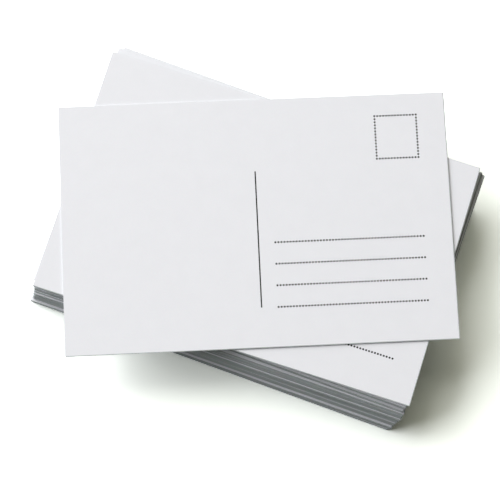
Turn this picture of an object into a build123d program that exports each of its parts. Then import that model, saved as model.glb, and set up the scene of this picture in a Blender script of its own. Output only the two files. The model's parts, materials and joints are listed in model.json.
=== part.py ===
"""Loose pile of blank postcards with the top card lying askew.

Millimetres, +Z up, +X along the long edges of the bottom card.
The origin is the middle of the bottom card's underside, where the pile lies on the table.
"""

import os
from collections import namedtuple
from math import sin

from build123d import *

# Card: the small classic postcard format, guillotined square from stiff uncoated board.
card_length = 140.0
card_width = 90.0
card_thickness = 0.38
air_gap = 0.02
pile_cards = 49

# Address side: a ruled middle line, dotted address lines and a dotted frame for the stamp.
dot_size = 0.45
dot_pitch = 0.735
rule_width = 0.42
rule_head_room = 26.4
address_lines = 4
address_line_pitch = 7.73
address_indent = 5.7
address_foot_room = 14.3
side_margin = 10.3
stamp_width = 15.8
stamp_height = 16.4
stamp_head_room = 7.6

# How the pile lies: what some cards are slid along X and Y and turned about Z, in degrees.
# A card is found by its share of the pile's height, and the cards between two are fanned evenly.
Lie = namedtuple("Lie", "share slide_x slide_y turn")
pile_lies = [
    Lie(0.00, 0.0, 0.0, 0.0),
    Lie(0.03, 0.1, 0.1, 0.0),
    Lie(0.04, 0.6, 0.3, 0.3),
    Lie(0.15, 0.7, 0.7, 0.4),
    Lie(0.16, 0.8, 1.5, 0.4),
    Lie(0.25, 0.9, 2.0, 0.4),
    Lie(0.38, 1.3, 3.2, 0.7),
    Lie(0.57, 1.3, 3.4, 0.8),
    Lie(0.58, 1.3, 4.2, 0.8),
    Lie(0.73, 1.3, 5.7, 0.7),
    Lie(0.74, 1.0, 7.2, 0.1),
    Lie(0.78, 1.0, 7.4, 0.1),
    Lie(0.79, 1.5, 8.6, 0.1),
    Lie(0.84, 1.5, 8.6, 0.1),
    Lie(0.85, 0.9, 8.2, 0.7),
    Lie(0.92, 0.8, 7.9, 0.9),
    Lie(0.93, 0.4, 7.3, 2.2),
    Lie(1.00, 0.4, 7.3, 2.2),
]
top_lie = Lie(1.00, -0.5, 8.4, 22.5)
loose_slide = 0.12
loose_turn = 0.05

# Sizes that follow from the ones above.
card_pitch = card_thickness + air_gap
ink_thickness = air_gap / 2
address_right = card_length / 2 - side_margin
address_length = address_right - address_indent
address_foot = address_foot_room - card_width / 2
address_height = (address_lines - 1) * address_line_pitch
rule_head = card_width / 2 - rule_head_room


def between(low, high, way):
    """A value part of the way from low to high."""
    return low + (high - low) * way


def card_place(card):
    """Where a pile card lies, counted from 0 at the bottom, with the small slack of loose sheets."""
    share = card / (pile_cards - 1)
    upper = next(i for i, lie in enumerate(pile_lies) if i > 0 and share <= lie.share)
    low = pile_lies[upper - 1]
    high = pile_lies[upper]
    way = (share - low.share) / (high.share - low.share)
    x = between(low.slide_x, high.slide_x, way) + loose_slide * sin(2.4 * card)
    y = between(low.slide_y, high.slide_y, way) + loose_slide * sin(1.7 * card)
    turn = between(low.turn, high.turn, way) + loose_turn * sin(3.1 * card)
    return Location((x, y, card * card_pitch), (0, 0, turn))


def even_dots(length):
    """How many dots fill a length with one at each end, and their even spacing."""
    gaps = round((length - dot_size) / dot_pitch)
    return gaps + 1, (length - dot_size) / gaps


def ink(marks):
    """A film of ink on a card's upper face in the outline of the marks."""
    return Pos(0, 0, card_thickness) * extrude(marks, amount=ink_thickness)


def dots(places):
    """Square dots at each of the places."""
    return Sketch() + [place * Rectangle(dot_size, dot_size) for place in places]


def make_card():
    """One sheet, standing on the plane of its underside."""
    return extrude(Rectangle(card_length, card_width), amount=card_thickness)


def make_divider():
    """The rule between message and address, down to the lowest address line."""
    rule = Rectangle(rule_width, rule_head - address_foot)
    return ink(Pos(0, (rule_head + address_foot) / 2) * rule)


def make_address_lines():
    """The dotted lines for the address, right of the divider."""
    count, spacing = even_dots(address_length)
    middle = Pos(address_right - address_length / 2, address_foot + address_height / 2)
    return ink(middle * dots(GridLocations(spacing, address_line_pitch, count, address_lines)))


def make_stamp_frame():
    """The dotted frame for the stamp, in line with the ends of the address lines."""
    across, across_spacing = even_dots(stamp_width)
    down, down_spacing = even_dots(stamp_height)
    ends = GridLocations(across_spacing, stamp_height - dot_size, across, 2)
    sides = GridLocations(stamp_width - dot_size, down_spacing, 2, down - 2)
    middle = Pos(address_right - stamp_width / 2, (card_width - stamp_height) / 2 - stamp_head_room)
    return ink(middle * dots([*ends, *sides]))


def save(node, shape):
    """Write one node of the assembly."""
    export_step(shape, os.path.join("parts", node + ".step"))


os.makedirs("parts", exist_ok=True)

card = make_card()
address_print = {
    "divider": make_divider(),
    "address_lines": make_address_lines(),
    "stamp_frame": make_stamp_frame(),
}

for number in range(1, pile_cards):
    save(f"pile_card_{number:02d}", card_place(number - 1) * card)

second_place = card_place(pile_cards - 1)
top_place = Location((top_lie.slide_x, top_lie.slide_y, pile_cards * card_pitch), (0, 0, top_lie.turn))
for node, place in (("second_card", second_place), ("top_card", top_place)):
    save(node, place * card)
    for mark, film in address_print.items():
        save(f"{node}_{mark}", place * film)
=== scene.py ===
"""Loose pile of blank postcards with the top card lying askew, in metres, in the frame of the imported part."""

import json
import math

import bpy
from mathutils import Matrix, Vector

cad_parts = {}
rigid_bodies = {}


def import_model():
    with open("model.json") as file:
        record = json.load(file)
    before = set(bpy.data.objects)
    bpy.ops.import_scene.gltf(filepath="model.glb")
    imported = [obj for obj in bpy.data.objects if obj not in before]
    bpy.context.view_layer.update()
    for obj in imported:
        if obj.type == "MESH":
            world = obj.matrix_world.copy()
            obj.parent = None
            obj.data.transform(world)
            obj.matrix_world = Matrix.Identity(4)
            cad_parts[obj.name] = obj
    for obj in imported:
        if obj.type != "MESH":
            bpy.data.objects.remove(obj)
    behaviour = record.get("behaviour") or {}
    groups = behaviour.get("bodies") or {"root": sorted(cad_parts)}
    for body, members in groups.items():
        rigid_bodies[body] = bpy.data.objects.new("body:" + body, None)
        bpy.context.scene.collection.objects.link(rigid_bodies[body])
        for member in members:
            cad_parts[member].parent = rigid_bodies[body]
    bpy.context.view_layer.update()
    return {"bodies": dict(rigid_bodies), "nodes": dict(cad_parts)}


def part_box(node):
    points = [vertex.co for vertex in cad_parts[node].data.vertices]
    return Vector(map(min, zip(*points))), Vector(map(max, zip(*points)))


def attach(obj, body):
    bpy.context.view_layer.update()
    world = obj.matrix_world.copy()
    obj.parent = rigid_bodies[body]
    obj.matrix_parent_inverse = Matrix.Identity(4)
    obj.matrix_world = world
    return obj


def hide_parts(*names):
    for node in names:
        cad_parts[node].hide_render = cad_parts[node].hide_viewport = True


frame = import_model()

# Sheets: fifty blank postcards, each one sheet of stiff uncoated board.
# They are cut square in a guillotine, which leaves the walls fibrous. A narrow rim of each face at the front and
# right, the sides turned from the lamps, is painted grey as shade.
# Nothing holds them: each lies on the one below by its own weight.
sheet_length = 0.140
sheet_width = 0.090
sheet_thickness = 0.00038
corner_wear = 0.00034
rim_roll = 0.00002
# Width of the rim painted grey as shade along the front and right of each face.
painted_shade_rim = 0.00028


def linear(code):
    """An sRGB hex colour as linear RGBA."""
    channels = [int(code[i:i + 2], 16) / 255 for i in (1, 3, 5)]
    return *[c / 12.92 if c <= 0.04045 else ((c + 0.055) / 1.055) ** 2.4 for c in channels], 1.0


def add_node(tree, kind, settings, inputs):
    """One node with its settings; an input is a value, or the socket of another node to link."""
    node = tree.nodes.new(kind)
    for name, value in settings.items():
        setattr(node, name, value)
    for name, value in inputs.items():
        if isinstance(value, bpy.types.NodeSocket):
            tree.links.new(value, node.inputs[name])
        else:
            node.inputs[name].default_value = value
    return node


# Uncoated board: bleached pulp, pressed smooth and left unsealed. It is dead matt and nearly even,
# with faint clouds where the pulp settled thicker, a fine felt grain, and a cool white from its brightener.
board = bpy.data.materials.new("uncoated_board")
board.use_nodes = True
tree = board.node_tree
place = add_node(tree, "ShaderNodeTexCoord", {}, {}).outputs["Object"]
cloud_mm = 6.0
felt_mm = 0.6
clouds = add_node(tree, "ShaderNodeTexNoise", {},
                  {"Vector": place, "Scale": 1000 / cloud_mm, "Detail": 3.0, "Roughness": 0.55})
felt = add_node(tree, "ShaderNodeTexNoise", {},
                {"Vector": place, "Scale": 1000 / felt_mm, "Detail": 2.0, "Roughness": 0.6})
clouded = add_node(tree, "ShaderNodeMix", {"data_type": "RGBA"},
                   {0: clouds.outputs["Fac"], 6: linear("#e8e9f0"), 7: linear("#ecedf4")})
felted = add_node(tree, "ShaderNodeMix", {"data_type": "RGBA", "blend_type": "SOFT_LIGHT"},
                  {0: 0.12, 6: clouded.outputs[2], 7: felt.outputs["Color"]})
matt = add_node(tree, "ShaderNodeMapRange", {},
                {"Value": felt.outputs["Fac"], "To Min": 0.82, "To Max": 0.94})
nap = add_node(tree, "ShaderNodeBump", {},
               {"Height": felt.outputs["Fac"], "Strength": 0.25, "Distance": 0.00002})
shader = tree.nodes["Principled BSDF"]
shader.inputs["Specular IOR Level"].default_value = 0.1
tree.links.new(felted.outputs[2], shader.inputs["Base Color"])
tree.links.new(matt.outputs["Result"], shader.inputs["Roughness"])
tree.links.new(nap.outputs["Normal"], shader.inputs["Normal"])

# Cut edge of the same board: torn fibre ends in thin plies, a good deal greyer than the face because light sinks in.
# Some sheets of the pile stand out lighter or darker, in streaks drawn wider than one sheet so that they show.
# The same grey also lies on the front and right rims of each face, as painted shade.
cut_edge_and_shade_rim = bpy.data.materials.new("cut_edge_and_painted_shade_rim")
cut_edge_and_shade_rim.use_nodes = True
tree = cut_edge_and_shade_rim.node_tree
place = add_node(tree, "ShaderNodeTexCoord", {}, {}).outputs["Object"]
ply_mm = 0.09
ply_run_mm = 2.5
streak_mm = 1.1
streak_run_mm = 70.0
ply_place = add_node(tree, "ShaderNodeMapping", {},
                     {"Vector": place, "Scale": (1000 / ply_run_mm, 1000 / ply_run_mm, 1000 / ply_mm)})
plies = add_node(tree, "ShaderNodeTexNoise", {},
                 {"Vector": ply_place.outputs["Vector"], "Scale": 1.0, "Detail": 3.0, "Roughness": 0.6})
streak_place = add_node(tree, "ShaderNodeMapping", {},
                        {"Vector": place, "Scale": (1000 / streak_run_mm, 1000 / streak_run_mm, 1000 / streak_mm)})
streaks = add_node(tree, "ShaderNodeTexNoise", {},
                   {"Vector": streak_place.outputs["Vector"], "Scale": 1.0, "Detail": 1.5, "Roughness": 0.6})
spread = add_node(tree, "ShaderNodeMapRange", {},
                  {"Value": streaks.outputs["Fac"], "From Min": 0.3, "From Max": 0.7})
streaked = add_node(tree, "ShaderNodeMix", {"data_type": "RGBA"},
                    {0: spread.outputs["Result"], 6: linear("#a5abad"), 7: linear("#bbc1c3")})
plied = add_node(tree, "ShaderNodeMix", {"data_type": "RGBA", "blend_type": "SOFT_LIGHT"},
                 {0: 0.3, 6: streaked.outputs[2], 7: plies.outputs["Color"]})
torn = add_node(tree, "ShaderNodeBump", {},
                {"Height": plies.outputs["Fac"], "Strength": 0.4, "Distance": 0.00003})
shader = tree.nodes["Principled BSDF"]
shader.inputs["Roughness"].default_value = 0.95
shader.inputs["Specular IOR Level"].default_value = 0.05
tree.links.new(plied.outputs[2], shader.inputs["Base Color"])
tree.links.new(torn.outputs["Normal"], shader.inputs["Normal"])


def place_of(node):
    """Where a sheet lies: the middle of its underside and its turn, from its CAD corners."""
    low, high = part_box(node)
    corners = [vertex.co for vertex in frame["nodes"][node].data.vertices]
    near_right = max(corners, key=lambda corner: corner.x - corner.y)
    near_left = min(corners, key=lambda corner: corner.x + corner.y)
    turn = math.atan2(near_right.y - near_left.y, near_right.x - near_left.x)
    middle = (low + high) / 2
    return Matrix.Translation((middle.x, middle.y, low.z)) @ Matrix.Rotation(turn, 4, "Z")


def along_z(middle, way):
    """True of an edge that stands upright, and of a face that lies flat."""
    return abs(way.z) > 0.99


def select_where(piece, kind, test):
    """Edit mode with only those faces or edges selected whose middle and normal or direction pass the test."""
    bpy.ops.object.mode_set(mode="EDIT")
    bpy.ops.mesh.select_mode(type=kind)
    bpy.ops.mesh.select_all(action="DESELECT")
    bpy.ops.object.mode_set(mode="OBJECT")
    points = [vertex.co for vertex in piece.data.vertices]
    if kind == "FACE":
        for face in piece.data.polygons:
            face.select = test(face.center, face.normal)
    else:
        for edge in piece.data.edges:
            start, end = (points[i] for i in edge.vertices)
            edge.select = test((start + end) / 2, (end - start).normalized())
    bpy.ops.object.mode_set(mode="EDIT")


bpy.ops.object.select_all(action="DESELECT")
bpy.ops.mesh.primitive_cube_add(size=1, location=(0, 0, sheet_thickness / 2),
                                scale=(sheet_length, sheet_width, sheet_thickness))
sheet = bpy.context.object
sheet.name = "sheet"
bpy.ops.object.transform_apply(location=True, rotation=True, scale=True)
select_where(sheet, "EDGE", along_z)
bpy.ops.mesh.bevel(offset=corner_wear, segments=3, profile=0.5)
select_where(sheet, "FACE", along_z)
bpy.ops.mesh.region_to_loop()
bpy.ops.mesh.bevel(offset=rim_roll, segments=2, profile=0.5)
# An inset parts a rim off the top and the underside; its front and right sides take painted shade below.
select_where(sheet, "FACE", along_z)
bpy.ops.mesh.inset(thickness=painted_shade_rim)
bpy.ops.object.mode_set(mode="OBJECT")
sheet.data.materials.append(board)
sheet.data.materials.append(cut_edge_and_shade_rim)
# Flat faces take the board, all but the rim at the front and right, which takes the edge grey as painted shade.
front = corner_wear - sheet_width / 2
right = sheet_length / 2 - corner_wear
for face in sheet.data.polygons:
    shows_board = along_z(face.center, face.normal) and face.center.y > front and face.center.x < right
    face.material_index = 0 if shows_board else 1

for card in frame["bodies"]:
    laid = sheet.copy()
    laid.data = sheet.data.copy()
    laid.name = card + "_sheet"
    laid.data.transform(place_of(card))
    bpy.context.scene.collection.objects.link(laid)
    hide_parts(card)
    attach(laid, card)
bpy.data.objects.remove(sheet)

# Print on the address side of every card: a ruled divider, four dotted lines and a dotted frame for the stamp.
# It is one film of dark grey offset ink, a hundredth of a millimetre proud of the board.
# The real dots are 0.45 mm wide and 0.74 mm apart. They are drawn larger and wider apart so that they show.
film_thickness = 0.00001
dot_size = 0.00066
dot_rounding = 0.00012
address_line_count = 4
line_dots = 50
line_length = 0.05334
line_pitch = 0.00773
line_left = 0.0057
line_foot = -0.0307
rule_width = 0.00045
rule_head = 0.0186
stamp_left = 0.0439
stamp_foot = 0.0210
stamp_across_dots = 15
stamp_across = 0.01514
stamp_down_dots = 15
stamp_down = 0.01574

# Offset ink on uncoated board: matt and dense, but soaked in, so it is a dark grey
# that breaks up a little over the fibres.
ink = bpy.data.materials.new("offset_ink")
ink.use_nodes = True
tree = ink.node_tree
place = add_node(tree, "ShaderNodeTexCoord", {}, {}).outputs["Object"]
soak_mm = 0.25
soak = add_node(tree, "ShaderNodeTexNoise", {},
                {"Vector": place, "Scale": 1000 / soak_mm, "Detail": 2.0, "Roughness": 0.6})
soaked = add_node(tree, "ShaderNodeMix", {"data_type": "RGBA"},
                  {0: soak.outputs["Fac"], 6: linear("#0c0c0e"), 7: linear("#242427")})
shader = tree.nodes["Principled BSDF"]
shader.inputs["Roughness"].default_value = 0.7
shader.inputs["Specular IOR Level"].default_value = 0.1
tree.links.new(soaked.outputs[2], shader.inputs["Base Color"])


def add_mark(left, foot, width, height):
    """One mark of ink with its corners run round, by its lower left corner."""
    bpy.ops.object.select_all(action="DESELECT")
    bpy.ops.mesh.primitive_cube_add(
        size=1, scale=(width, height, film_thickness),
        location=(left + width / 2, foot + height / 2, sheet_thickness + film_thickness / 2))
    mark = bpy.context.object
    bpy.ops.object.transform_apply(location=True, rotation=True, scale=True)
    select_where(mark, "EDGE", along_z)
    bpy.ops.mesh.bevel(offset=dot_rounding, segments=1)
    bpy.ops.object.mode_set(mode="OBJECT")
    return mark


def repeat(mark, count, step):
    """Copies of a mark in a row, made part of its mesh."""
    row = mark.modifiers.new("row", "ARRAY")
    row.count = count
    row.use_relative_offset = False
    row.use_constant_offset = True
    row.constant_offset_displace = step
    bpy.context.view_layer.objects.active = mark
    bpy.ops.object.modifier_apply(modifier=row.name)


divider = add_mark(-rule_width / 2, line_foot, rule_width, rule_head - line_foot)
address_lines = add_mark(line_left, line_foot - dot_size / 2, dot_size, dot_size)
repeat(address_lines, line_dots, (line_length / (line_dots - 1), 0, 0))
repeat(address_lines, address_line_count, (0, line_pitch, 0))
stamp_ends = add_mark(stamp_left, stamp_foot, dot_size, dot_size)
repeat(stamp_ends, stamp_across_dots, (stamp_across / (stamp_across_dots - 1), 0, 0))
repeat(stamp_ends, 2, (0, stamp_down, 0))
stamp_step = stamp_down / (stamp_down_dots - 1)
stamp_sides = add_mark(stamp_left, stamp_foot + stamp_step, dot_size, dot_size)
repeat(stamp_sides, stamp_down_dots - 2, (0, stamp_step, 0))
repeat(stamp_sides, 2, (stamp_across, 0, 0))
bpy.ops.object.select_all(action="DESELECT")
for mark in (address_lines, stamp_ends, stamp_sides, divider):
    mark.select_set(True)
bpy.context.view_layer.objects.active = divider
bpy.ops.object.join()
divider.data.materials.append(ink)

for card in frame["bodies"]:
    printed = divider.copy()
    printed.data = divider.data.copy()
    printed.name = card + "_print"
    printed.data.transform(place_of(card))
    bpy.context.scene.collection.objects.link(printed)
    if card in ("second_card", "top_card"):
        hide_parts(card + "_divider", card + "_address_lines", card + "_stamp_frame")
    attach(printed, card)
bpy.data.objects.remove(divider)

# Table: a matt white sheet under the pile, bright enough to go to plain white where nothing shades it.
# Only rays that show it find it that bright, so it throws no more light on the cards than white paint does.
table_size = 1.2
table_drop = 0.00002
painted_white = (0.85, 0.85, 0.81, 1)
shown_white = (1.71, 1.78, 1.74, 1)
bpy.ops.object.select_all(action="DESELECT")
bpy.ops.mesh.primitive_plane_add(size=table_size, location=(0, 0, -table_drop))
table = bpy.context.object
table.name = "table"
white = bpy.data.materials.new("matt_white_table")
white.use_nodes = True
tree = white.node_tree


def sight(tree):
    """One for rays that show the backdrop, to the camera or in a sheen or glass, and nought for those that light."""
    rays = add_node(tree, "ShaderNodeLightPath", {}, {})
    mirrored = add_node(tree, "ShaderNodeMath", {"operation": "MAXIMUM"},
                        {0: rays.outputs["Is Glossy Ray"], 1: rays.outputs["Is Transmission Ray"]})
    seen = add_node(tree, "ShaderNodeMath", {"operation": "MAXIMUM"},
                    {0: rays.outputs["Is Camera Ray"], 1: mirrored.outputs["Value"]})
    return seen.outputs["Value"]


seen = add_node(tree, "ShaderNodeMix", {"data_type": "RGBA"},
                {0: sight(tree), 6: painted_white, 7: shown_white})
tree.nodes.remove(tree.nodes["Principled BSDF"])
paint = add_node(tree, "ShaderNodeBsdfDiffuse", {}, {"Color": seen.outputs[2]})
tree.links.new(paint.outputs["BSDF"], tree.nodes["Material Output"].inputs["Surface"])
table.data.materials.append(white)

# Light: three broad soft lamps, from low at the left round to higher at the back, where the light is a little warmer.
# Next to no light comes from the room, and that is warm too.
lamp_width = 4.4
lamp_distance = 3.8
plain_light = (1, 1, 1)
warm_light = (1, 0.97, 0.8)
room_light = (0.046, 0.045, 0.034, 1)
lamps = [("left_lamp", 181, 20, 213, plain_light), ("side_lamp", 145, 27, 160, plain_light),
         ("back_lamp", 115, 35, 55, warm_light)]
for name, turn, height, power, colour in lamps:
    lamp = bpy.data.lights.new(name, "AREA")
    lamp.shape = "DISK"
    lamp.size = lamp_width
    lamp.energy = power
    lamp.color = colour
    stand = bpy.data.objects.new(name, lamp)
    bpy.context.scene.collection.objects.link(stand)
    raised = Matrix.Rotation(-math.radians(height), 3, "Y") @ Vector((1, 0, 0))
    way = Matrix.Rotation(math.radians(turn), 3, "Z") @ raised
    stand.location = way * lamp_distance
    stand.rotation_euler = way.to_track_quat("Z", "Y").to_euler()
room = bpy.data.worlds.new("room")
bpy.context.scene.world = room
room.use_nodes = True
tree = room.node_tree
glow = add_node(tree, "ShaderNodeMix", {"data_type": "RGBA"},
                {0: sight(tree), 6: room_light, 7: (1, 1, 1, 1)})
tree.links.new(glow.outputs[2], tree.nodes["Background"].inputs["Color"])

# Camera: steep from the front, a little to the right, tipped so that the pile lies across the picture.
# It stands less than half a metre off, as the perspective of the cards in the photo asks.
camera = bpy.data.objects.new("camera", bpy.data.cameras.new("camera"))
bpy.context.scene.collection.objects.link(camera)
bpy.context.scene.camera = camera
camera.data.sensor_width = 36
camera.data.lens = 90
camera.data.clip_end = 20
stand = Vector((0.00921, -0.05966, 0.46261))
aim = Vector((0.00035, -0.00190, 0.0196))
tip = math.radians(11.17)
look = (aim - stand).normalized()
level = look.cross(Vector((0, 0, 1))).normalized()
rise = level.cross(look)
across = math.cos(tip) * level + math.sin(tip) * rise
upward = math.cos(tip) * rise - math.sin(tip) * level
camera.matrix_world = Matrix.Translation(stand) @ Matrix((across, upward, -look)).transposed().to_4x4()

bpy.context.scene.view_settings.view_transform = "Standard"
